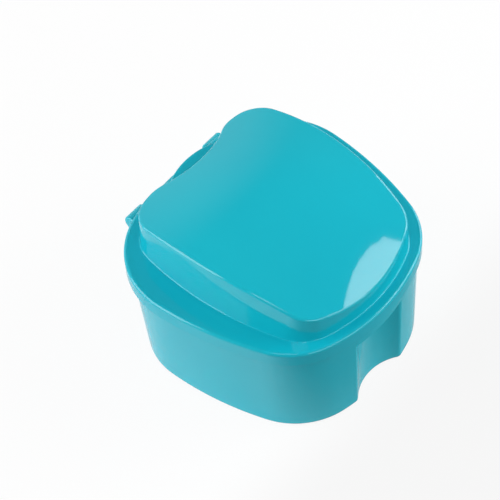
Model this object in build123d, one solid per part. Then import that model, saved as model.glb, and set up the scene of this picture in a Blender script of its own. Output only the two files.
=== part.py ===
from build123d import *
import os
from dataclasses import dataclass, replace
from math import cos, hypot, pi, radians, sin, sqrt

# Denture case with a hinged lid and a lift-out strainer basket. Millimetres, +Z up, +Y towards the
# hinge. The origin is on the underside of the tub, on its plane of symmetry.

os.makedirs("parts", exist_ok=True)

# ---- Driving dimensions ----------------------------------------------------------------------

CASE_WIDTH = 90.0             # across the lid's rim at its widest
CASE_HEIGHT = 68.5            # to the crown of the dome
RIM_FRONT = 43.8              # origin to the front of the lid's rim
RIM_BACK = 44.4               # origin to the back of the lid's rim
RIM_WIDE_Y = 18.2             # where the rim is widest

# Tub
WALL = 2.2                    # tub wall and floor
SHOULDER_Z = 38.9             # the step that the lid's skirt comes down to
SHOULDER_FRONT_INSET = 1.5    # tub wall inside the skirt's outer face
SHOULDER_SIDE_INSET = 0.9
SHOULDER_BACK_INSET = 0.8
BASE_FRONT_TAPER = 1.7        # how far the wall leans in from the rim to the base
BASE_SIDE_TAPER = 3.6
BASE_BACK_TAPER = 6.1
BASE_WIDE_Y = 13.6
BASE_EDGE_RADIUS = 2.4
MOUTH_WALL = 1.8              # thin lip that the skirt goes around
LIP_ROUND = 0.5
GROOVE_RADIUS = 17.4          # thumb groove down the front wall
GROOVE_DEPTH = 6.6            # measured back from the rim's front
GROOVE_EDGE_RADIUS = 1.6
GROOVE_ROOF = 5.1             # wall left between the groove and the shoulder

# Lid
LID_WALL = 2.0
SKIRT_WALL = 1.5
SKIRT_BOTTOM = 39.2
SKIRT_EDGE_ROUND = 0.4
SKIRT_CLEARANCE = 0.35        # between the skirt and the tub's lip
LID_SEAT_GAP = 0.2            # between the tub's lip and the lid's underside
FLANGE_UNDERSIDE = 43.9
FLANGE_THICKNESS = 1.6
RIM_EDGE_ROUND = 1.1

# Dome
FRONT_LEDGE = 3.7             # flat of the rim in front of, beside and behind the dome
SIDE_LEDGE = 10.4
BACK_LEDGE = 6.4
DOME_WIDE_Y = 6.8
DOME_FRONT_DRAFT = 0.02       # how far a wall leans in for each millimetre of height
DOME_SIDE_DRAFT = 0.085
DOME_BACK_DRAFT = 0.02
DOME_EDGE_Z = 61.6            # height of the dome's side edge where it is highest
DOME_EDGE_Y = 4.2             # where it is highest
DOME_EDGE_BOW = 113.0         # radius the side edge arches with
CROWN_HALF_WIDTH = 34.5       # the top bulges to the crown inside these
CROWN_HALF_LENGTH = 43.5
DOME_EDGE_ROUND = 1.0
DOME_FOOT_ROUND = 0.35
NOTCH_RADIUS = 28.0           # scoop in the back of the dome
NOTCH_DEPTH = 6.0             # measured forwards from the dome's back
NOTCH_EDGE_RADIUS = 11.0
SHELF_Z = 55.3                # low crescent behind the scoop
SHELF_RADIUS = 25.4
SHELF_PROUD = 1.4             # how far the crescent stands behind the dome's back
SHELF_ROUND = 0.5

# Hinge
HINGE_BEHIND_RIM = 0.2
HINGE_Z = 39.7
LUG_RADIUS = 2.8
LUG_INNER_X = 15.5
LUG_WIDTH = 7.7
LUG_EDGE_ROUND = 0.7
LUG_FOOT_Z = 31.7             # where the lug's gusset meets the wall
LUG_ROOT = 3.2                # how far the lug reaches forwards into the tub's wall
TONGUE_RADIUS = 2.0
TONGUE_SIDE_GAP = 0.4         # between the tongue and each lug
TONGUE_WEB_TOP = 45.1
TONGUE_WEB_BACK = 0.6         # from the pin's axis forwards to the back of the web
TONGUE_LEAN = 25.0            # degrees above level where the web leaves the knuckle
HINGE_PIN_RADIUS = 0.9
PIN_PRESS_CLEARANCE = 0.02
PIN_RUNNING_CLEARANCE = 0.08
PIN_BLIND_WALL = 1.5          # wall left outside the pin in the blind lug
PIN_CHAMFER = 0.2
HINGE_POCKET_GAP = 0.4        # between the tongue and the tub's back wall
HINGE_POCKET_DEPTH = 0.8      # below the tongue
SKIRT_GAP_MARGIN = 1.5        # the skirt stops this far outside the lugs

# Basket
BASKET_WALL = 1.5
BASKET_FLANGE_TOP = 33.0
BASKET_FLANGE_THICKNESS = 1.5
BASKET_BOTTOM = 8.0
BASKET_FLANGE_GAP = 0.6       # between the basket's flange and the tub's wall
BASKET_FRONT = 33.0           # outside of the basket's body below its flange
BASKET_BACK = 28.5
BASKET_HALF_WIDTH = 33.4
BASKET_DRAFT = 0.09
BASKET_FOOT_ROUND = 1.2
BASKET_SEAT_GAP = 0.1         # between the flange and the ribs that carry it
RIB_WIDTH = 3.0
RIB_REACH = 2.4               # how far a rib stands in from the tub's wall
SIDE_RIB_YS = (-14.0, 24.0)
END_RIB_X = 24.0
SLOT_WIDTH = 2.6
FLOOR_SLOT_PITCH = 5.4
FLOOR_SLOT_MARGIN = 5.0       # plain floor left around the slots
FLOOR_WEB = 4.0               # bar across the middle of the slots
WALL_SLOT_LOW = 13.0
WALL_SLOT_HIGH = 27.0
WALL_SLOT_PITCH = 9.0

# Basket handle
HANDLE_HALF_WIDTH = 30.0
HANDLE_THICKNESS = 2.4
HANDLE_GRIP_WIDTH = 3.4
HANDLE_REACH = 18.0           # pivot to the middle of the grip
HANDLE_CORNER_RADIUS = 10.2
HANDLE_EDGE_ROUND = 0.7
HANDLE_EYE_RADIUS = 2.2
HANDLE_SIDE_GAP = 0.4
HANDLE_REST_GAP = 0.3         # between the folded handle and the basket's flange
HANDLE_PIVOT_Y = 11.0
HANDLE_STUB_RADIUS = 1.0
HANDLE_RUNNING_CLEARANCE = 0.075
EAR_THICKNESS = 2.0
EAR_DEPTH = 5.0               # how far the ear runs down inside the basket's wall
EAR_ROUND = 1.2
STOP_SIZE = 1.5               # tab that halts the raised handle
STOP_GAP = 0.3


# Construction
ARCS_WIDTH = 90.0             # case width that the bows and corners of the outlines are written for
OVERLAP = 0.5                 # how far a piece's features run into each other where they join
CUT_PAST = 1.0                # how far a cut runs on beyond the face it opens
DOME_CUT_MARGIN = 1.5         # height of the plain dome above the crown, before the top is shaped
BULGE_STEPS = 8               # points each way from the middle of the dome's top
BULGE_REACH = 1.15            # how far the shaped top runs on beyond where its bulge ends
SAME_PLACE = 0.01             # two lengths nearer than this are alike


# ---- Plan outlines ---------------------------------------------------------------------------

def inner_tangent_centre(big_a, radius_a, big_b, radius_b, small, backwards):
    """Centre of an arc of radius small that touches two larger arcs from inside."""
    dx, dy = big_b[0] - big_a[0], big_b[1] - big_a[1]
    span = hypot(dx, dy)
    reach_a, reach_b = radius_a - small, radius_b - small
    along = (reach_a**2 - reach_b**2 + span**2) / (2 * span)
    across = sqrt(reach_a**2 - along**2)
    mid = (big_a[0] + along * dx / span, big_a[1] + along * dy / span)
    step = (-across * dy / span, across * dx / span)
    ends = [(mid[0] + step[0], mid[1] + step[1]), (mid[0] - step[0], mid[1] - step[1])]
    return max(ends, key=lambda p: p[1] if backwards else -p[1])


def point_on(centre, radius, through):
    """Point where the ray from centre through another point leaves the circle."""
    dx, dy = through[0] - centre[0], through[1] - centre[1]
    scale = radius / hypot(dx, dy)
    return (centre[0] + dx * scale, centre[1] + dy * scale)


def arc_about(centre, radius, start, end):
    """Shorter arc from start to end about centre."""
    middle = ((start[0] + end[0]) / 2, (start[1] + end[1]) / 2)
    return ThreePointArc(start, point_on(centre, radius, middle), end)


@dataclass(frozen=True)
class Outline:
    """Closed symmetric plan curve of tangent arcs: front, sides, back and four corners."""
    front: float
    back: float
    half_width: float
    wide_y: float
    front_bow: float
    side_bow: float
    back_bow: float
    front_corner: float
    back_corner: float

    def inset(self, distance):
        """The parallel curve this far inside."""
        return Outline(self.front - distance, self.back - distance, self.half_width - distance, self.wide_y,
                       self.front_bow - distance, self.side_bow - distance, self.back_bow - distance,
                       self.front_corner - distance, self.back_corner - distance)

    def with_arcs(self, factor):
        """The curve with its bows and corners larger or smaller by a factor."""
        return replace(self, front_bow=self.front_bow * factor, side_bow=self.side_bow * factor,
                       back_bow=self.back_bow * factor, front_corner=self.front_corner * factor,
                       back_corner=self.back_corner * factor)

    def towards(self, other, share):
        """The curve part of the way from this one to another."""
        pairs = zip(vars(self).values(), vars(other).values())
        return Outline(*[a + (b - a) * share for a, b in pairs])

    def face(self, z):
        """The curve filled, at height z."""
        front_centre = (0, self.front_bow - self.front)
        back_centre = (0, self.back - self.back_bow)
        side_centre = (self.half_width - self.side_bow, self.wide_y)
        low = inner_tangent_centre(front_centre, self.front_bow, side_centre, self.side_bow,
                                   self.front_corner, False)
        high = inner_tangent_centre(back_centre, self.back_bow, side_centre, self.side_bow,
                                    self.back_corner, True)
        front_end = point_on(front_centre, self.front_bow, low)
        side_start = point_on(side_centre, self.side_bow, low)
        side_end = point_on(side_centre, self.side_bow, high)
        back_end = point_on(back_centre, self.back_bow, high)
        half = [arc_about(low, self.front_corner, front_end, side_start),
                arc_about(side_centre, self.side_bow, side_start, side_end),
                arc_about(high, self.back_corner, side_end, back_end)]
        front = ThreePointArc((-front_end[0], front_end[1]), (0, -self.front), front_end)
        back = ThreePointArc(back_end, (0, self.back), (-back_end[0], back_end[1]))
        other_half = [mirror(arc, about=Plane.YZ) for arc in half]
        return Pos(0, 0, z) * make_face([front, *half, back, *other_half])


# ---- Solids ----------------------------------------------------------------------------------

def prism(low, low_z, high, high_z):
    """Solid between two outlines at two heights."""
    return loft([low.face(low_z), high.face(high_z)], ruled=True)


def slab(outline, low_z, high_z):
    """Straight-sided solid on one outline."""
    return extrude(outline.face(low_z), high_z - low_z)


def block(low, high):
    """Box between two corners."""
    size = [b - a for a, b in zip(low, high)]
    centre = [(a + b) / 2 for a, b in zip(low, high)]
    return Pos(*centre) * Box(*size)


def post(radius, x, y, low_z, high_z):
    """Upright cylinder."""
    return Pos(x, y, (low_z + high_z) / 2) * Cylinder(radius, high_z - low_z)


def edges_up_post(shape, radius, y):
    """Upright edges of a shape that lie on the round face of an upright cylinder on the plane of symmetry."""
    middles = [(e, e @ 0.5) for e in shape.edges() if e.bounding_box().size.Z > SAME_PLACE]
    return [e for e, p in middles if abs(hypot(p.X, p.Y - y) - radius) < SAME_PLACE]


def rod_x(radius, low_x, high_x, y, z):
    """Round bar along X."""
    return Pos((low_x + high_x) / 2, y, z) * Rot(0, 90, 0) * Cylinder(radius, high_x - low_x)


def both_sides(shape):
    """The shape and its mirror image across the plane of symmetry."""
    return shape + mirror(shape, about=Plane.YZ)


# ---- Shared outlines and positions -----------------------------------------------------------

ARC_FACTOR = CASE_WIDTH / ARCS_WIDTH
RIM = Outline(front=RIM_FRONT, back=RIM_BACK, half_width=CASE_WIDTH / 2, wide_y=RIM_WIDE_Y, front_bow=63.2,
              side_bow=125.0, back_bow=200.0, front_corner=25.6, back_corner=29.4).with_arcs(ARC_FACTOR)
SHOULDER = Outline(front=RIM_FRONT - SHOULDER_FRONT_INSET, back=RIM_BACK - SHOULDER_BACK_INSET,
                   half_width=RIM.half_width - SHOULDER_SIDE_INSET, wide_y=RIM_WIDE_Y, front_bow=62.3,
                   side_bow=124.1, back_bow=199.1, front_corner=24.7, back_corner=31.1).with_arcs(ARC_FACTOR)
BASE = Outline(front=RIM_FRONT - BASE_FRONT_TAPER, back=RIM_BACK - BASE_BACK_TAPER,
               half_width=RIM.half_width - BASE_SIDE_TAPER, wide_y=BASE_WIDE_Y, front_bow=69.6,
               side_bow=113.7, back_bow=150.0, front_corner=27.2, back_corner=23.0).with_arcs(ARC_FACTOR)
LIP = RIM.inset(SKIRT_WALL + SKIRT_CLEARANCE)
MOUTH = LIP.inset(MOUTH_WALL)
CAVITY_FLOOR = BASE.inset(WALL)
LIP_TOP = FLANGE_UNDERSIDE - LID_SEAT_GAP
GROOVE_Y = GROOVE_DEPTH - RIM_FRONT - GROOVE_RADIUS
GROOVE_TOP = SHOULDER_Z - GROOVE_ROOF

FLANGE_TOP = FLANGE_UNDERSIDE + FLANGE_THICKNESS
DOME_TOP_Z = CASE_HEIGHT + DOME_CUT_MARGIN
DOME_RISE = DOME_TOP_Z - FLANGE_UNDERSIDE
DOME_FOOT = Outline(front=RIM_FRONT - FRONT_LEDGE, back=RIM_BACK - BACK_LEDGE,
                    half_width=RIM.half_width - SIDE_LEDGE, wide_y=DOME_WIDE_Y, front_bow=61.5,
                    side_bow=115.8, back_bow=400.0, front_corner=16.4, back_corner=11.0)
DOME_TOP = Outline(front=DOME_FOOT.front - DOME_FRONT_DRAFT * DOME_RISE,
                   back=DOME_FOOT.back - DOME_BACK_DRAFT * DOME_RISE,
                   half_width=DOME_FOOT.half_width - DOME_SIDE_DRAFT * DOME_RISE, wide_y=10.4,
                   front_bow=48.3, side_bow=129.0, back_bow=400.0, front_corner=5.9, back_corner=11.0)
NOTCH_Y = DOME_FOOT.back - NOTCH_DEPTH + NOTCH_RADIUS
SHELF_Y = DOME_FOOT.back + SHELF_PROUD - SHELF_RADIUS

HINGE_Y = RIM_BACK + HINGE_BEHIND_RIM
POCKET_Y = HINGE_Y - TONGUE_RADIUS - HINGE_POCKET_GAP
LUG_OUTER_X = LUG_INNER_X + LUG_WIDTH
TONGUE_HALF_WIDTH = LUG_INNER_X - TONGUE_SIDE_GAP

BASKET_FLANGE_Z = BASKET_FLANGE_TOP - BASKET_FLANGE_THICKNESS
RIB_TOP = BASKET_FLANGE_Z - BASKET_SEAT_GAP
RIB_LINE_TOP = MOUTH.inset(RIB_REACH)
FLANGE_SHARE = (BASKET_FLANGE_Z - WALL) / (LIP_TOP - WALL)
BASKET_FLANGE = CAVITY_FLOOR.towards(MOUTH, FLANGE_SHARE).inset(BASKET_FLANGE_GAP)
BASKET_TOP = Outline(front=BASKET_FRONT, back=BASKET_BACK, half_width=BASKET_HALF_WIDTH, wide_y=4.0,
                     front_bow=68.0, side_bow=105.0, back_bow=190.0, front_corner=16.0, back_corner=16.0)
BASKET_FOOT = BASKET_TOP.inset(BASKET_DRAFT * (BASKET_FLANGE_Z - BASKET_BOTTOM))
HANDLE_PIVOT_Z = BASKET_FLANGE_TOP + HANDLE_REST_GAP + HANDLE_THICKNESS / 2
EAR_INNER_X = HANDLE_HALF_WIDTH + HANDLE_SIDE_GAP
EAR_ROOT_X = BASKET_HALF_WIDTH - BASKET_WALL + OVERLAP


# ---- Tub -------------------------------------------------------------------------------------

def tub_wall_outside():
    """Tapered outside with the thumb groove, its rounded edges and the rounded base."""
    body = prism(BASE, 0, SHOULDER, SHOULDER_Z) - post(GROOVE_RADIUS, 0, GROOVE_Y, -CUT_PAST, GROOVE_TOP)
    body = fillet(edges_up_post(body, GROOVE_RADIUS, GROOVE_Y), GROOVE_EDGE_RADIUS)
    return fillet(body.faces().sort_by(Axis.Z)[0].edges(), BASE_EDGE_RADIUS)


def tub_lip():
    """Thin upper lip that the lid's skirt goes around."""
    lip = slab(LIP, SHOULDER_Z - OVERLAP, LIP_TOP)
    return fillet(lip.faces().sort_by(Axis.Z)[-1].edges(), LIP_ROUND)


def tub_ribs():
    """Ribs up the inside of the wall that carry the basket's flange."""
    half = RIB_WIDTH / 2
    bars = [block((-CASE_WIDTH, y - half, WALL - 1), (CASE_WIDTH, y + half, RIB_TOP)) for y in SIDE_RIB_YS]
    bars += [block((x - half, -CASE_WIDTH, WALL - 1), (x + half, CASE_WIDTH, RIB_TOP))
             for x in (-END_RIB_X, END_RIB_X)]
    inside = prism(CAVITY_FLOOR.inset(RIB_REACH), WALL - 2, RIB_LINE_TOP, LIP_TOP)
    outside = prism(CAVITY_FLOOR.inset(-WALL / 2), WALL - 1, MOUTH.inset(-WALL / 2), LIP_TOP)
    return (Part() + bars) & outside - inside


def tub_lug():
    """Right-hand hinge lug with its gusset, bored for the pin."""
    foot = (HINGE_Y - LUG_ROOT, LUG_FOOT_Z)
    dy, dz = HINGE_Y - foot[0], HINGE_Z - foot[1]
    reach = hypot(dy, dz)
    tangent = sqrt(reach**2 - LUG_RADIUS**2)
    along, across = tangent / reach, LUG_RADIUS / reach
    touch = (foot[0] + along * (dy * along + dz * across), foot[1] + along * (dz * along - dy * across))
    profile = Polyline(foot, touch, (HINGE_Y, HINGE_Z), (HINGE_Y, HINGE_Z + LUG_RADIUS),
                       (foot[0], HINGE_Z + LUG_RADIUS), close=True)
    face = make_face(profile) + Pos(HINGE_Y, HINGE_Z) * Circle(LUG_RADIUS)
    lug = Pos(LUG_INNER_X, 0, 0) * extrude(Plane.YZ * face, LUG_WIDTH)
    rims = [e for e in lug.faces().filter_by(Axis.X).edges() if e.center().Y > foot[0] + 0.1]
    return fillet(rims, LUG_EDGE_ROUND)


def make_tub():
    """Tub: drafted cup with the groove, lip, basket ribs and hinge lugs."""
    body = tub_wall_outside() + tub_lip()
    cavity = prism(CAVITY_FLOOR, WALL, MOUTH, LIP_TOP)
    cavity += slab(MOUTH, LIP_TOP, LIP_TOP + CUT_PAST)
    cavity -= post(GROOVE_RADIUS + WALL, 0, GROOVE_Y, 0, GROOVE_TOP + WALL)
    body -= cavity
    body += tub_ribs()
    body -= block((-LUG_INNER_X, POCKET_Y, HINGE_Z - TONGUE_RADIUS - HINGE_POCKET_DEPTH),
                  (LUG_INNER_X, RIM_BACK + CUT_PAST, LIP_TOP))
    body += both_sides(tub_lug())
    bore = rod_x(HINGE_PIN_RADIUS + PIN_PRESS_CLEARANCE, PIN_BLIND_WALL - LUG_OUTER_X, LUG_OUTER_X + CUT_PAST,
                 HINGE_Y, HINGE_Z)
    return body - bore


# ---- Lid -------------------------------------------------------------------------------------

def dome_cutter(drop):
    """Everything above the dome's bulging top, lowered by drop."""
    bow = 1 / (2 * DOME_EDGE_BOW)
    crown = CASE_HEIGHT - DOME_EDGE_Z

    def height(x, y):
        back = y - DOME_EDGE_Y
        bulge = cos(pi * x / (2 * CROWN_HALF_WIDTH)) * cos(pi * back / (2 * CROWN_HALF_LENGTH))
        return DOME_EDGE_Z - bow * back**2 + crown * bulge - drop

    steps = [BULGE_REACH * i / BULGE_STEPS for i in range(-BULGE_STEPS, BULGE_STEPS + 1)]
    points = [[(CROWN_HALF_WIDTH * i, DOME_EDGE_Y + CROWN_HALF_LENGTH * j) for j in steps] for i in steps]
    grid = [[Vector(x, y, height(x, y)) for x, y in row] for row in points]
    return extrude(Face.make_surface_from_array_of_points(grid), DOME_RISE, dir=(0, 0, 1))


def dome_outside():
    """Dome with its scooped back, rounded top edge and the crescent shelf."""
    dome = prism(DOME_FOOT, FLANGE_UNDERSIDE, DOME_TOP, DOME_TOP_Z)
    dome -= post(NOTCH_RADIUS, 0, NOTCH_Y, FLANGE_UNDERSIDE - CUT_PAST, DOME_TOP_Z + CUT_PAST)
    dome = fillet(edges_up_post(dome, NOTCH_RADIUS, NOTCH_Y), NOTCH_EDGE_RADIUS) - dome_cutter(0)
    dome = fillet(dome.faces().sort_by(Axis.Z)[-1].edges(), DOME_EDGE_ROUND)
    shelf = post(SHELF_RADIUS, 0, SHELF_Y, FLANGE_UNDERSIDE, SHELF_Z)
    return dome + fillet(shelf.faces().sort_by(Axis.Z)[-1].edges(), SHELF_ROUND)


def dome_inside():
    """Hollow of the dome, a wall's thickness inside it all round."""
    hollow = prism(DOME_FOOT.inset(LID_WALL), FLANGE_UNDERSIDE, DOME_TOP.inset(LID_WALL), DOME_TOP_Z)
    hollow += slab(DOME_FOOT.inset(LID_WALL), FLANGE_UNDERSIDE - CUT_PAST, FLANGE_UNDERSIDE)
    hollow -= post(NOTCH_RADIUS + LID_WALL, 0, NOTCH_Y, FLANGE_UNDERSIDE - 2 * CUT_PAST,
                   DOME_TOP_Z + CUT_PAST)
    hollow += post(SHELF_RADIUS - LID_WALL, 0, SHELF_Y, FLANGE_UNDERSIDE - CUT_PAST, SHELF_Z - LID_WALL)
    return hollow - dome_cutter(LID_WALL)


def lid_rim():
    """Flange with its rounded edge and the skirt, open at the back for the hinge."""
    rim = slab(RIM, SKIRT_BOTTOM, FLANGE_TOP)
    rim -= slab(RIM.inset(SKIRT_WALL), SKIRT_BOTTOM - CUT_PAST, FLANGE_UNDERSIDE)
    rim = fillet(rim.faces().sort_by(Axis.Z)[-1].edges(), RIM_EDGE_ROUND)
    rim = fillet(rim.faces().sort_by(Axis.Z)[0].outer_wire().edges(), SKIRT_EDGE_ROUND)
    gap = LUG_OUTER_X + SKIRT_GAP_MARGIN
    return rim - block((-gap, 0, SKIRT_BOTTOM - CUT_PAST), (gap, RIM_BACK + CUT_PAST, FLANGE_UNDERSIDE))


def hinge_tongue():
    """Knuckle under the back of the flange, with the web that joins them."""
    front = HINGE_Y - TONGUE_RADIUS
    out = (cos(radians(TONGUE_LEAN)), sin(radians(TONGUE_LEAN)))
    touch = (HINGE_Y + TONGUE_RADIUS * out[0], HINGE_Z + TONGUE_RADIUS * out[1])
    profile = Polyline((front, HINGE_Z), (HINGE_Y, HINGE_Z), touch, (HINGE_Y - TONGUE_WEB_BACK, TONGUE_WEB_TOP),
                       (front, TONGUE_WEB_TOP), close=True)
    face = make_face(profile) + Pos(HINGE_Y, HINGE_Z) * Circle(TONGUE_RADIUS)
    return Pos(-TONGUE_HALF_WIDTH, 0, 0) * extrude(Plane.YZ * face, 2 * TONGUE_HALF_WIDTH)


def make_lid():
    """Lid: rim and skirt, hollow dome and the hinge tongue."""
    body = lid_rim() + dome_outside()
    floor = [f for f in body.faces().filter_by(Axis.Z) if abs(f.center().Z - FLANGE_TOP) < SAME_PLACE][0]
    body = fillet(floor.inner_wires()[0].edges(), DOME_FOOT_ROUND)
    body = body - dome_inside() + hinge_tongue()
    return body - rod_x(HINGE_PIN_RADIUS + PIN_RUNNING_CLEARANCE, -LUG_INNER_X, LUG_INNER_X, HINGE_Y, HINGE_Z)


# ---- Hinge pin -------------------------------------------------------------------------------

def make_hinge_pin():
    """Straight pin pressed into the blind lug and through the open one."""
    pin = rod_x(HINGE_PIN_RADIUS, PIN_BLIND_WALL - LUG_OUTER_X, LUG_OUTER_X - PIN_CHAMFER, HINGE_Y, HINGE_Z)
    return chamfer(pin.edges().filter_by(GeomType.CIRCLE), PIN_CHAMFER)


# ---- Basket ----------------------------------------------------------------------------------

def floor_slots():
    """Long drain slots through the basket's floor, either side of a middle web."""
    count = int(BASKET_HALF_WIDTH / FLOOR_SLOT_PITCH)
    half, reach = SLOT_WIDTH / 2, CASE_WIDTH
    bars = [block((i * FLOOR_SLOT_PITCH - half, y, BASKET_BOTTOM - 1),
                  (i * FLOOR_SLOT_PITCH + half, y + reach, BASKET_BOTTOM + BASKET_WALL + 1))
            for i in range(-count, count + 1) for y in (FLOOR_WEB / 2, -FLOOR_WEB / 2 - reach)]
    field = slab(BASKET_FOOT.inset(FLOOR_SLOT_MARGIN), BASKET_BOTTOM - 1, BASKET_BOTTOM + BASKET_WALL + 1)
    return (Part() + bars) & field


def wall_slots():
    """Upright drain slots through the basket's four walls."""
    half, reach = SLOT_WIDTH / 2, CASE_WIDTH
    bars = [block((-reach, i * WALL_SLOT_PITCH - half, WALL_SLOT_LOW),
                  (reach, i * WALL_SLOT_PITCH + half, WALL_SLOT_HIGH)) for i in range(-2, 2)]
    bars += [block((i * WALL_SLOT_PITCH - half, -reach, WALL_SLOT_LOW),
                   (i * WALL_SLOT_PITCH + half, reach, WALL_SLOT_HIGH)) for i in range(-2, 3)]
    return Part() + bars


def handle_ear():
    """Right-hand ear on its bracket, with the stub the handle turns on and the tab that stops it upright."""
    top = HANDLE_PIVOT_Z + HANDLE_EYE_RADIUS + STOP_GAP + STOP_SIZE
    stop_back = HANDLE_PIVOT_Y - HANDLE_THICKNESS / 2 - STOP_GAP
    front, back = stop_back - STOP_SIZE, 2 * HANDLE_PIVOT_Y - stop_back + STOP_SIZE
    low_z, outer_x = BASKET_FLANGE_TOP - EAR_DEPTH, EAR_INNER_X + EAR_THICKNESS
    ear = block((EAR_INNER_X, front, low_z), (outer_x, back, top))
    ear = fillet(ear.edges().filter_by(Axis.X).sort_by(Axis.Z)[-2:], EAR_ROUND)
    ear += block((min(EAR_INNER_X, EAR_ROOT_X), front, low_z),
                 (max(outer_x, EAR_ROOT_X), back, BASKET_FLANGE_TOP))
    ear += rod_x(HANDLE_STUB_RADIUS, HANDLE_HALF_WIDTH - HANDLE_THICKNESS - HANDLE_SIDE_GAP,
                 EAR_INNER_X + OVERLAP, HANDLE_PIVOT_Y, HANDLE_PIVOT_Z)
    return ear + block((EAR_INNER_X - HANDLE_THICKNESS + STOP_GAP, front, top - STOP_SIZE),
                       (EAR_INNER_X + OVERLAP, stop_back, top))


def make_basket():
    """Strainer basket: flange that rests on the tub's ribs, slotted walls and floor, handle ears."""
    body = prism(BASKET_FOOT, BASKET_BOTTOM, BASKET_TOP, BASKET_FLANGE_Z)
    body = fillet(body.faces().sort_by(Axis.Z)[0].edges(), BASKET_FOOT_ROUND)
    flange = slab(BASKET_FLANGE, BASKET_FLANGE_Z, BASKET_FLANGE_TOP)
    flange -= post(GROOVE_RADIUS + WALL + BASKET_FLANGE_GAP, 0, GROOVE_Y, 0, CASE_HEIGHT)
    hollow = prism(BASKET_FOOT.inset(BASKET_WALL), BASKET_BOTTOM + BASKET_WALL,
                   BASKET_TOP.inset(BASKET_WALL), BASKET_FLANGE_Z)
    hollow += slab(BASKET_TOP.inset(BASKET_WALL), BASKET_FLANGE_Z, BASKET_FLANGE_TOP + 1)
    body = body + flange - hollow - floor_slots() - wall_slots()
    return body + both_sides(handle_ear())


# ---- Basket handle ---------------------------------------------------------------------------

def make_handle():
    """U-shaped handle folded flat over the back of the basket, with an eye at each end."""
    far = HANDLE_PIVOT_Y + HANDLE_REACH + HANDLE_GRIP_WIDTH / 2
    low_z = HANDLE_PIVOT_Z - HANDLE_THICKNESS / 2
    inner_width = HANDLE_HALF_WIDTH - HANDLE_THICKNESS
    outer = block((-HANDLE_HALF_WIDTH, HANDLE_PIVOT_Y, low_z), (HANDLE_HALF_WIDTH, far, low_z + HANDLE_THICKNESS))
    outer = fillet(outer.edges().filter_by(Axis.Z).sort_by(Axis.Y)[-2:], HANDLE_CORNER_RADIUS)
    inner = block((-inner_width, HANDLE_PIVOT_Y - 1, low_z - 1),
                  (inner_width, far - HANDLE_GRIP_WIDTH, low_z + HANDLE_THICKNESS + 1))
    inner = fillet(inner.edges().filter_by(Axis.Z).sort_by(Axis.Y)[-2:], HANDLE_CORNER_RADIUS - HANDLE_THICKNESS)
    bail = outer - inner
    rims = [e for f in bail.faces().filter_by(Axis.Z) for e in f.edges() if e.center().Y > HANDLE_PIVOT_Y + 0.1]
    bail = fillet(rims, HANDLE_EDGE_ROUND)
    eye = rod_x(HANDLE_EYE_RADIUS, inner_width, HANDLE_HALF_WIDTH, HANDLE_PIVOT_Y, HANDLE_PIVOT_Z)
    bail += both_sides(eye)
    return bail - rod_x(HANDLE_STUB_RADIUS + HANDLE_RUNNING_CLEARANCE, -HANDLE_HALF_WIDTH, HANDLE_HALF_WIDTH,
                        HANDLE_PIVOT_Y, HANDLE_PIVOT_Z)


# ---- Export ----------------------------------------------------------------------------------

export_step(make_tub(), "parts/tub.step")
export_step(make_lid(), "parts/lid.step")
export_step(make_hinge_pin(), "parts/hinge_pin.step")
export_step(make_basket(), "parts/basket.step")
export_step(make_handle(), "parts/basket_handle.step")
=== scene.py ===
"""Studio scene of a moulded denture case: lid, tub, hinge pin, strainer basket and its handle."""

import logging
import math
from dataclasses import dataclass, field
from enum import Enum

import bpy
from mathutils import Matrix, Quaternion, Vector

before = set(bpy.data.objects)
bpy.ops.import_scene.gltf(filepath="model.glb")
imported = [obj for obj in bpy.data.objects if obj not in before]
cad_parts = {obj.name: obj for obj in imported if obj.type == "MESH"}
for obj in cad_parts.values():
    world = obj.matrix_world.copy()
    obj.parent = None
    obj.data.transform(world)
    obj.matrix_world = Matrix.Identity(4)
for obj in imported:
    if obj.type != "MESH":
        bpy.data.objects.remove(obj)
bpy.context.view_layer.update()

LOG = logging.getLogger("denture_case")
MM = 0.001

Colour = tuple[float, float, float]

WHITE = (1.0, 1.0, 1.0, 1.0)
UNSET_GREY = (0.5, 0.5, 0.5, 1.0)


def linear(red: int, green: int, blue: int) -> Colour:
    """Scene-linear colour of an 8-bit screen colour.

    Args:
        red: Red, 0 to 255.
        green: Green, 0 to 255.
        blue: Blue, 0 to 255.

    Returns:
        The three linear values.
    """
    def one(value: int) -> float:
        """Linear value of one channel, by the sRGB curve."""
        share = value / 255
        return share / 12.92 if share <= 0.04045 else ((share + 0.055) / 1.055) ** 2.4
    return one(red), one(green), one(blue)


def direction(azimuth: float, elevation: float) -> Vector:
    """Unit vector from the case towards a bearing.

    Args:
        azimuth: Degrees round from the front, positive to the right.
        elevation: Degrees above the worktop.

    Returns:
        The direction.
    """
    a, e = math.radians(azimuth), math.radians(elevation)
    return Vector((math.sin(a) * math.cos(e), -math.cos(a) * math.cos(e), math.sin(e)))


# ---- Nodes and node groups that several finishes share ---------------------------------------

def add_node(tree: bpy.types.NodeTree, kind: str, **settings: object) -> bpy.types.Node:
    """Add a shader node to a tree.

    Args:
        tree: The material's, world's or group's node tree.
        kind: The node's type name without its ShaderNode prefix.
        **settings: Attributes to set on the node.

    Returns:
        The node.
    """
    made = tree.nodes.new("ShaderNode" + kind)
    for name, value in settings.items():
        setattr(made, name, value)
    return made


class Sockets(Enum):
    """Kinds of node-group socket."""

    VALUE = "NodeSocketFloat"
    COLOUR = "NodeSocketColor"
    VECTOR = "NodeSocketVector"


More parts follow.
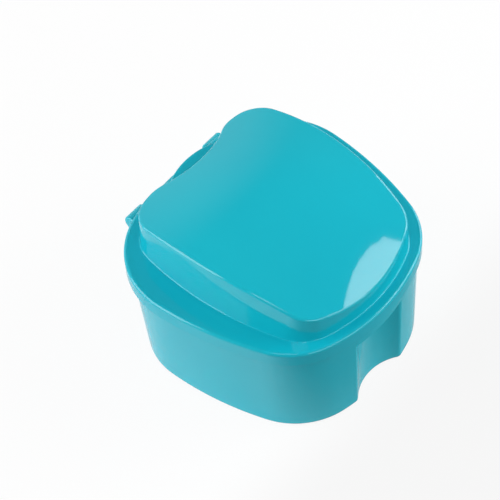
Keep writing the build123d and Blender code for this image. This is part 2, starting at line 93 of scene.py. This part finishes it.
class EffectGroup:
    """A shader node group with named inputs and outputs, built once and shared.

    Attributes:
        title: The group's name.
        inputs: Name, kind and default of each input.
        outputs: Name and kind of each output.
    """

    title = "effect"
    inputs: tuple[tuple[str, Sockets, object], ...] = ()
    outputs: tuple[tuple[str, Sockets], ...] = ()

    def __init__(self) -> None:
        """Make the group and let the subclass fill it."""
        self.tree = bpy.data.node_groups.new(self.title, "ShaderNodeTree")
        sockets = self.tree.interface
        for name, kind, default in self.inputs:
            socket = sockets.new_socket(name, in_out="INPUT", socket_type=kind.value)
            socket.default_value = default
        for name, kind in self.outputs:
            sockets.new_socket(name, in_out="OUTPUT", socket_type=kind.value)
        self.entry = self.tree.nodes.new("NodeGroupInput")
        self.exit = self.tree.nodes.new("NodeGroupOutput")
        self.fill()

    def node(self, kind: str, **settings: object) -> bpy.types.Node:
        """Add a node to the group, as add_node does to any tree."""
        return add_node(self.tree, kind, **settings)

    def noise(self, detail: float, scale: float | None = None) -> bpy.types.Node:
        """Add a noise texture to the group.

        Args:
            detail: How many finer octaves it has.
            scale: Its scale, or None where a link gives it.

        Returns:
            The noise node.
        """
        made = self.node("TexNoise")
        made.inputs["Detail"].default_value = detail
        if scale is not None:
            made.inputs["Scale"].default_value = scale
        return made

    def link(self, source: bpy.types.NodeSocket, target: bpy.types.NodeSocket) -> None:
        """Join two sockets."""
        self.tree.links.new(source, target)

    def fill(self) -> None:
        """Build what is inside the group."""
        raise NotImplementedError

    def place(self, material: bpy.types.Material, **values: object) -> bpy.types.Node:
        """Put the group into a material.

        Args:
            material: The material to add it to.
            **values: Input values, by input name with underscores for spaces.

        Returns:
            The group node.
        """
        made = add_node(material.node_tree, "Group", node_tree=self.tree)
        for name, value in values.items():
            made.inputs[name.replace("_", " ")].default_value = value
        return made


class MouldSkin(EffectGroup):
    """Skin that a polished mould leaves: faint ripple and slow changes of colour and gloss.

    Attributes:
        flow_detail: Finer octaves in the flow clouds.
        flow_span: Noise values where a cloud starts and is full.
        ripple_detail: Finer octaves in the ripple.
    """

    title = "mould skin"
    inputs = (("Colour", Sockets.COLOUR, UNSET_GREY), ("Flow Colour", Sockets.COLOUR, UNSET_GREY),
              ("Roughness", Sockets.VALUE, 0.2), ("Gloss Change", Sockets.VALUE, 0.05),
              ("Flow Scale", Sockets.VALUE, 14.0), ("Ripple Scale", Sockets.VALUE, 220.0))
    outputs = (("Colour", Sockets.COLOUR), ("Roughness", Sockets.VALUE),
               ("Height", Sockets.VALUE))
    flow_detail = 3.0
    flow_span = (0.35, 0.65)
    ripple_detail = 2.0

    def fill(self) -> None:
        """Flow clouds drive the colour and gloss, and a finer noise the ripple."""
        place = self.node("TexCoord")
        flow = self.noise(self.flow_detail)
        self.link(place.outputs["Object"], flow.inputs["Vector"])
        self.link(self.entry.outputs["Flow Scale"], flow.inputs["Scale"])
        spread = self.node("MapRange")
        for name, value in zip(("From Min", "From Max"), self.flow_span):
            spread.inputs[name].default_value = value
        self.link(flow.outputs["Fac"], spread.inputs["Value"])

        blend = self.node("Mix", data_type="RGBA")
        self.link(spread.outputs["Result"], blend.inputs["Factor"])
        self.link(self.entry.outputs["Colour"], blend.inputs["A"])
        self.link(self.entry.outputs["Flow Colour"], blend.inputs["B"])
        self.link(blend.outputs["Result"], self.exit.inputs["Colour"])

        sway = self.node("Math", operation="MULTIPLY_ADD")
        self.link(spread.outputs["Result"], sway.inputs[0])
        self.link(self.entry.outputs["Gloss Change"], sway.inputs[1])
        self.link(self.entry.outputs["Roughness"], sway.inputs[2])
        self.link(sway.outputs["Value"], self.exit.inputs["Roughness"])

        ripple = self.noise(self.ripple_detail)
        self.link(place.outputs["Object"], ripple.inputs["Vector"])
        self.link(self.entry.outputs["Ripple Scale"], ripple.inputs["Scale"])
        self.link(ripple.outputs["Fac"], self.exit.inputs["Height"])


class HandlingMarks(EffectGroup):
    """Patches of hairline scratches from being handled and rinsed.

    Attributes:
        hair_detail: Finer octaves in the noise whose contours are the scratches.
        hair_level: Noise value that a scratch follows.
        hair_width: How far from that value a scratch still shows.
        patch_detail: Finer octaves in the patches.
        patch_scale: Scale of the patches.
        patch_gate: Noise value above which a patch has scratches.
    """

    title = "handling marks"
    inputs = (("Scale", Sockets.VALUE, 90.0), ("Stretch", Sockets.VECTOR, (1.0, 1.0, 1.0)),
              ("Amount", Sockets.VALUE, 0.3))
    outputs = (("Mask", Sockets.VALUE),)
    hair_detail = 4.0
    hair_level = 0.5
    hair_width = 0.004
    patch_detail = 2.0
    patch_scale = 60.0
    patch_gate = 0.56

    def fill(self) -> None:
        """Thin contour lines of a stretched noise, broken up by a coarser one."""
        place = self.node("TexCoord")
        stretch = self.node("Mapping")
        self.link(place.outputs["Object"], stretch.inputs["Vector"])
        self.link(self.entry.outputs["Stretch"], stretch.inputs["Scale"])
        hair = self.noise(self.hair_detail)
        self.link(stretch.outputs["Vector"], hair.inputs["Vector"])
        self.link(self.entry.outputs["Scale"], hair.inputs["Scale"])
        line = self.node("Math", operation="COMPARE")
        line.inputs[1].default_value = self.hair_level
        line.inputs[2].default_value = self.hair_width
        self.link(hair.outputs["Fac"], line.inputs[0])

        patch = self.noise(self.patch_detail, self.patch_scale)
        self.link(place.outputs["Object"], patch.inputs["Vector"])
        gate = self.node("Math", operation="GREATER_THAN")
        gate.inputs[1].default_value = self.patch_gate
        self.link(patch.outputs["Fac"], gate.inputs[0])

        marked = self.product(line.outputs["Value"], gate.outputs["Value"])
        scaled = self.product(marked, self.entry.outputs["Amount"])
        self.link(scaled, self.exit.inputs["Mask"])

    def product(self, first: bpy.types.NodeSocket,
                second: bpy.types.NodeSocket) -> bpy.types.NodeSocket:
        """Multiply two values.

        Args:
            first: The one value.
            second: The other value.

        Returns:
            Their product's socket.
        """
        times = self.node("Math", operation="MULTIPLY")
        self.link(first, times.inputs[0])
        self.link(second, times.inputs[1])
        return times.outputs["Value"]


# ---- Finishes --------------------------------------------------------------------------------

def principled(material: bpy.types.Material) -> bpy.types.Node:
    """The material's Principled shader node."""
    return next(n for n in material.node_tree.nodes if n.type == "BSDF_PRINCIPLED")


def fresh_material(name: str) -> bpy.types.Material:
    """A new node material with a Principled shader."""
    made = bpy.data.materials.new(name)
    made.use_nodes = True
    return made


@dataclass(frozen=True)
class MouldedPlastic:
    """Injection-moulded polypropylene, coloured through.

    Attributes:
        name: The material's name.
        colour: Main colour.
        flow_colour: Colour of the slow clouds where the melt flowed.
        roughness: Roughness where it is glossiest.
        gloss_change: How much rougher the clouds are.
        ripple_depth: Depth of the ripple, in metres.
        scratch: How much rougher a scratch is.
        ior: Refractive index.
    """

    name: str
    colour: Colour
    flow_colour: Colour
    roughness: float
    gloss_change: float
    ripple_depth: float
    scratch: float
    ior: float = 1.49

    def material(self, skin: MouldSkin, marks: HandlingMarks) -> bpy.types.Material:
        """Build the material.

        Args:
            skin: The shared mould-skin group.
            marks: The shared handling-marks group.

        Returns:
            The finished material.
        """
        made = fresh_material(self.name)
        tree, shader = made.node_tree, principled(made)
        surface = skin.place(made, Colour=(*self.colour, 1), Flow_Colour=(*self.flow_colour, 1),
                             Roughness=self.roughness, Gloss_Change=self.gloss_change)
        wear = marks.place(made, Amount=self.scratch)
        dull = add_node(tree, "Math", operation="ADD")
        tree.links.new(surface.outputs["Roughness"], dull.inputs[0])
        tree.links.new(wear.outputs["Mask"], dull.inputs[1])
        bump = add_node(tree, "Bump")
        bump.inputs["Strength"].default_value = 1.0
        bump.inputs["Distance"].default_value = self.ripple_depth
        tree.links.new(surface.outputs["Height"], bump.inputs["Height"])
        tree.links.new(surface.outputs["Colour"], shader.inputs["Base Color"])
        tree.links.new(dull.outputs["Value"], shader.inputs["Roughness"])
        tree.links.new(bump.outputs["Normal"], shader.inputs["Normal"])
        shader.inputs["IOR"].default_value = self.ior
        return made


@dataclass(frozen=True)
class DrawnWire:
    """Bright drawn stainless wire, with the die's lines along it.

    Attributes:
        name: The material's name.
        colour: Colour of the metal.
        roughness: Roughness between the lines.
        line_scale: Fineness of the lines.
        line_stretch: Stretch of the lines, small along the wire.
        line_amount: How much rougher a line is.
    """

    name: str
    colour: Colour
    roughness: float
    line_scale: float = 900.0
    line_stretch: tuple[float, float, float] = (0.05, 1.0, 1.0)
    line_amount: float = 0.4

    def material(self, marks: HandlingMarks) -> bpy.types.Material:
        """Build the material.

        Args:
            marks: The shared handling-marks group.

        Returns:
            The finished material.
        """
        made = fresh_material(self.name)
        tree, shader = made.node_tree, principled(made)
        shader.inputs["Metallic"].default_value = 1.0
        shader.inputs["Base Color"].default_value = (*self.colour, 1)
        lines = marks.place(made, Scale=self.line_scale, Stretch=self.line_stretch,
                            Amount=self.line_amount)
        dull = add_node(tree, "Math", operation="ADD")
        dull.inputs[1].default_value = self.roughness
        tree.links.new(lines.outputs["Mask"], dull.inputs[0])
        tree.links.new(dull.outputs["Value"], shader.inputs["Roughness"])
        return made


SHELL = MouldedPlastic(
    name="teal polypropylene", colour=linear(14, 178, 198), flow_colour=linear(20, 184, 202),
    roughness=0.045, gloss_change=0.02, ripple_depth=1.5e-6, scratch=0.10)
STRAINER = MouldedPlastic(
    name="white polypropylene", colour=linear(232, 235, 233), flow_colour=linear(238, 240, 237),
    roughness=0.34, gloss_change=0.08, ripple_depth=6e-6, scratch=0.2)
WIRE = DrawnWire(name="stainless wire", colour=(0.62, 0.61, 0.59), roughness=0.22)


# ---- Studio ----------------------------------------------------------------------------------

def seen_share(tree: bpy.types.NodeTree, to_camera: float,
               to_reflections: float) -> bpy.types.NodeSocket:
    """A mask with a share for camera rays, one for glossy and transmission rays, and 0 for others.

    Args:
        tree: The material's or world's node tree.
        to_camera: The share for what the camera sees.
        to_reflections: The share for what the object mirrors or lets through.

    Returns:
        The mask's output socket.
    """
    path = add_node(tree, "LightPath")
    total = None
    for name, share in (("Is Camera Ray", to_camera), ("Is Glossy Ray", to_reflections),
                        ("Is Transmission Ray", to_reflections)):
        part = add_node(tree, "Math", operation="MULTIPLY_ADD")
        part.inputs[1].default_value = share
        part.inputs[2].default_value = 0.0
        tree.links.new(path.outputs[name], part.inputs[0])
        if total is not None:
            tree.links.new(total, part.inputs[2])
        total = part.outputs["Value"]
    return total


@dataclass(frozen=True)
class LightPanel:
    """An upright studio panel, placed by where its edges lie as seen from the case.

    Attributes:
        name: The lamp's name.
        azimuth: Bearing of the panel's plane, in degrees.
        distance: How far off the plane is, in metres.
        start: Bearing of the left edge, in degrees.
        end: Bearing of the right edge, in degrees.
        low: Elevation of the lower edge, in degrees.
        high: Elevation of the upper edge, in degrees.
        radiance: How bright the panel looks.
        lean: Turn about its middle, in degrees, which lifts the edge at its start.
    """

    name: str
    azimuth: float
    distance: float
    start: float
    end: float
    low: float
    high: float
    radiance: float
    lean: float = 0.0

    def hang(self, aim: Vector) -> None:
        """Put the panel up.

        Args:
            aim: The point that the bearings are taken from, in metres.
        """
        left, right = (math.tan(math.radians(b - self.azimuth)) * self.distance
                       for b in (self.start, self.end))
        low, high = (math.tan(math.radians(e)) * self.distance for e in (self.low, self.high))
        lamp = bpy.data.lights.new(self.name, "AREA")
        lamp.shape = "RECTANGLE"
        lamp.size, lamp.size_y = right - left, high - low
        lamp.energy = self.radiance * math.pi * lamp.size * lamp.size_y
        holder = bpy.data.objects.new(self.name, lamp)
        bpy.context.scene.collection.objects.link(holder)
        away, side = direction(self.azimuth, 0), direction(self.azimuth + 90, 0)
        middle = side * (left + right) / 2 + Vector((0, 0, (low + high) / 2))
        holder.location = aim + away * self.distance + middle
        holder.rotation_mode = "QUATERNION"
        turn = Quaternion(away, -math.radians(self.lean))
        holder.rotation_quaternion = turn @ away.to_track_quat("Z", "Y")


PANELS = (
    # name, azimuth, distance, start, end, low, high, radiance
    LightPanel("right window", 44, 1.0, 28, 58, 20, 47, 5.4, lean=12),
    LightPanel("low right window", 74, 1.0, 50, 96, 5, 30, 4.6),
    LightPanel("back left window", -128, 1.0, -150, -104, 4, 52, 4.5),
    LightPanel("high left window", -62, 0.5, -85, -40, 60, 74, 4.0),
    LightPanel("front fill", -4, 1.0, -30, 24, 5, 32, 2.6),
)


@dataclass
class Studio:
    """Pale worktop with a painted shadow, soft lamps, plain surroundings and the camera.

    Attributes:
        azimuth: Bearing of the camera, in degrees.
        elevation: Elevation of the camera, in degrees.
        roll: Turn of the camera about its own axis, in degrees.
        distance: Camera to aim, in metres.
        aim: The point that the camera looks at and the panels stand round.
        lens: Focal length, in millimetres.
        sensor: Width of the sensor, in millimetres.
        clip: Nearest and farthest distance that the camera sees, in metres.
        worktop_reach: Half the width of the worktop, in metres.
        worktop_colour: Colour behind the end of the fade.
        worktop_painted_shadow: Painted shadow colour in front of the start of the fade, mirrored
            in the tub's walls.
        worktop_shadow_fade: Where the painted shadow fades out, along Y in metres.
        worktop_roughness: Roughness of the worktop.
        worktop_specular: Level of its sheen.
        worktop_glow: Share of plain white that the camera sees on it.
        white_mirrored: Share of plain white that the pieces mirror.
        room_level: Strength of the dim room.
        glow_level: Strength in the middle of the glow.
        glow_azimuth: Bearing of the glow, in degrees.
        glow_elevation: Elevation of the glow, in degrees.
        glow_reach: Angle from the middle of the glow to its edge, in degrees.
        panels: The lamps.
    """

    azimuth: float = -46.06
    elevation: float = 53.69
    roll: float = -4.44
    distance: float = 0.766
    aim: Vector = field(default_factory=lambda: Vector((-1.50, 11.98, 30.0)) * MM)
    lens: float = 166.91
    sensor: float = 36.0
    clip: tuple[float, float] = (0.05, 20.0)
    worktop_reach: float = 3.0
    worktop_colour: Colour = (0.9, 0.9, 0.9)
    # Painted shadow on the worktop in front of the case.
    worktop_painted_shadow: Colour = (0.16, 0.16, 0.16)
    worktop_shadow_fade: tuple[float, float] = (-58 * MM, -22 * MM)
    worktop_roughness: float = 0.7
    worktop_specular: float = 0.1
    worktop_glow: float = 0.91
    white_mirrored: float = 0.08
    room_level: float = 0.12
    glow_level: float = 0.75
    glow_azimuth: float = 172
    glow_elevation: float = 15
    glow_reach: float = 47
    panels: tuple[LightPanel, ...] = PANELS

    def camera(self) -> None:
        """Set the camera on its stand."""
        data = bpy.data.cameras.new("camera")
        data.lens, data.sensor_width = self.lens, self.sensor
        data.clip_start, data.clip_end = self.clip
        holder = bpy.data.objects.new("camera", data)
        bpy.context.scene.collection.objects.link(holder)
        away = direction(self.azimuth, self.elevation)
        holder.location = self.aim + away * self.distance
        holder.rotation_mode = "QUATERNION"
        tilt = Quaternion((0, 0, 1), math.radians(self.roll))
        holder.rotation_quaternion = (-away).to_track_quat("-Z", "Y") @ tilt
        bpy.context.scene.camera = holder

    def worktop_material(self) -> bpy.types.Material:
        """Pale worktop with a painted shadow: it turns dark in front of the case.

        The camera sees it as near white. The pieces mirror its own colour, painted shadow
        included, with a share of white.

        Returns:
            The finished material.
        """
        made = fresh_material("worktop")
        tree, shader = made.node_tree, principled(made)
        place = add_node(tree, "TexCoord")
        split = add_node(tree, "SeparateXYZ")
        tree.links.new(place.outputs["Object"], split.inputs["Vector"])
        # Painted shadow: the worktop's colour darkens in front of the case, where the pieces
        # mirror it.
        fade = add_node(tree, "MapRange", interpolation_type="SMOOTHSTEP")
        for name, value in zip(("From Min", "From Max"), self.worktop_shadow_fade):
            fade.inputs[name].default_value = value
        tree.links.new(split.outputs["Y"], fade.inputs["Value"])
        paint = add_node(tree, "Mix", data_type="RGBA")
        paint.inputs["A"].default_value = (*self.worktop_painted_shadow, 1)
        paint.inputs["B"].default_value = (*self.worktop_colour, 1)
        tree.links.new(fade.outputs["Result"], paint.inputs["Factor"])
        tree.links.new(paint.outputs["Result"], shader.inputs["Base Color"])
        shader.inputs["Roughness"].default_value = self.worktop_roughness
        shader.inputs["Specular IOR Level"].default_value = self.worktop_specular

        glow = add_node(tree, "Emission")
        glow.inputs["Color"].default_value = WHITE
        blend = add_node(tree, "MixShader")
        lit, plain = blend.inputs[1:3]
        seen = seen_share(tree, self.worktop_glow, self.white_mirrored)
        tree.links.new(seen, blend.inputs["Fac"])
        tree.links.new(shader.outputs["BSDF"], lit)
        tree.links.new(glow.outputs["Emission"], plain)
        exit_node = next(n for n in tree.nodes if n.type == "OUTPUT_MATERIAL")
        tree.links.new(blend.outputs["Shader"], exit_node.inputs["Surface"])
        return made

    def bench(self) -> None:
        """Lay the worktop under the case."""
        half = self.worktop_reach
        mesh = bpy.data.meshes.new("worktop")
        corners = [(-half, -half, 0), (half, -half, 0), (half, half, 0), (-half, half, 0)]
        mesh.from_pydata(corners, [], [(0, 1, 2, 3)])
        top = bpy.data.objects.new("worktop", mesh)
        bpy.context.scene.collection.objects.link(top)
        mesh.materials.append(self.worktop_material())

    def surroundings(self) -> None:
        """Dim room with a soft glow behind the case, and plain white to the camera."""
        world = bpy.data.worlds.new("studio")
        bpy.context.scene.world = world
        world.use_nodes = True
        tree = world.node_tree
        back = next(n for n in tree.nodes if n.type == "BACKGROUND")
        place = add_node(tree, "TexCoord")
        facing = add_node(tree, "VectorMath", operation="DOT_PRODUCT")
        facing.inputs[1].default_value = direction(self.glow_azimuth, self.glow_elevation)
        tree.links.new(place.outputs["Generated"], facing.inputs[0])
        level = add_node(tree, "MapRange", interpolation_type="SMOOTHSTEP")
        for name, value in (("From Min", math.cos(math.radians(self.glow_reach))),
                            ("To Min", self.room_level), ("To Max", self.glow_level)):
            level.inputs[name].default_value = value
        tree.links.new(facing.outputs["Value"], level.inputs["Value"])
        mix = add_node(tree, "Mix")
        mix.inputs["B"].default_value = 1.0
        seen = seen_share(tree, 1.0, self.white_mirrored)
        tree.links.new(seen, mix.inputs["Factor"])
        tree.links.new(level.outputs["Result"], mix.inputs["A"])
        tree.links.new(mix.outputs["Result"], back.inputs["Strength"])
        back.inputs["Color"].default_value = WHITE

    def build(self) -> None:
        """Put the whole studio up."""
        bpy.context.scene.view_settings.view_transform = "Standard"
        self.surroundings()
        self.bench()
        for panel in self.panels:
            panel.hang(self.aim)
        self.camera()


# ---- The case --------------------------------------------------------------------------------

class SubAssembly:
    """Pieces of the case that belong together. Each keeps its CAD shape and gets its finish."""

    def finishes(self) -> dict[str, bpy.types.Material]:
        """The finish of each piece, by its node's name."""
        raise NotImplementedError

    def dress(self) -> list[bpy.types.Object]:
        """Give every piece its finish.

        Returns:
            The dressed pieces.
        """
        pieces = []
        for node, finish in self.finishes().items():
            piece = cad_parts[node]
            piece.data.materials.clear()
            piece.data.materials.append(finish)
            for face in piece.data.polygons:
                face.material_index = 0
            pieces.append(piece)
        return pieces


@dataclass
class CaseBody(SubAssembly):
    """The tub, with the pin in its two hinge lugs."""

    shell: bpy.types.Material
    wire: bpy.types.Material

    def finishes(self) -> dict[str, bpy.types.Material]:
        """The tub is moulded and the pin is drawn wire."""
        return {"tub": self.shell, "hinge_pin": self.wire}


@dataclass
class Lid(SubAssembly):
    """The domed lid, moulded with its hinge tongue."""

    shell: bpy.types.Material

    def finishes(self) -> dict[str, bpy.types.Material]:
        """The lid is moulded in the tub's plastic."""
        return {"lid": self.shell}


@dataclass
class StrainerBasket(SubAssembly):
    """The lift-out basket and the handle that folds over it."""

    plastic: bpy.types.Material

    def finishes(self) -> dict[str, bpy.types.Material]:
        """Both are moulded in the same white plastic."""
        return {"basket": self.plastic, "basket_handle": self.plastic}


def main() -> None:
    """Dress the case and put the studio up."""
    skin, marks = MouldSkin(), HandlingMarks()
    shell = SHELL.material(skin, marks)
    strainer = STRAINER.material(skin, marks)
    wire = WIRE.material(marks)
    for part in (CaseBody(shell, wire), Lid(shell), StrainerBasket(strainer)):
        for made in part.dress():
            LOG.info("%s: %d faces", made.name, len(made.data.polygons))
    Studio().build()


if __name__ == "__main__":
    logging.basicConfig(level=logging.INFO)
    main()
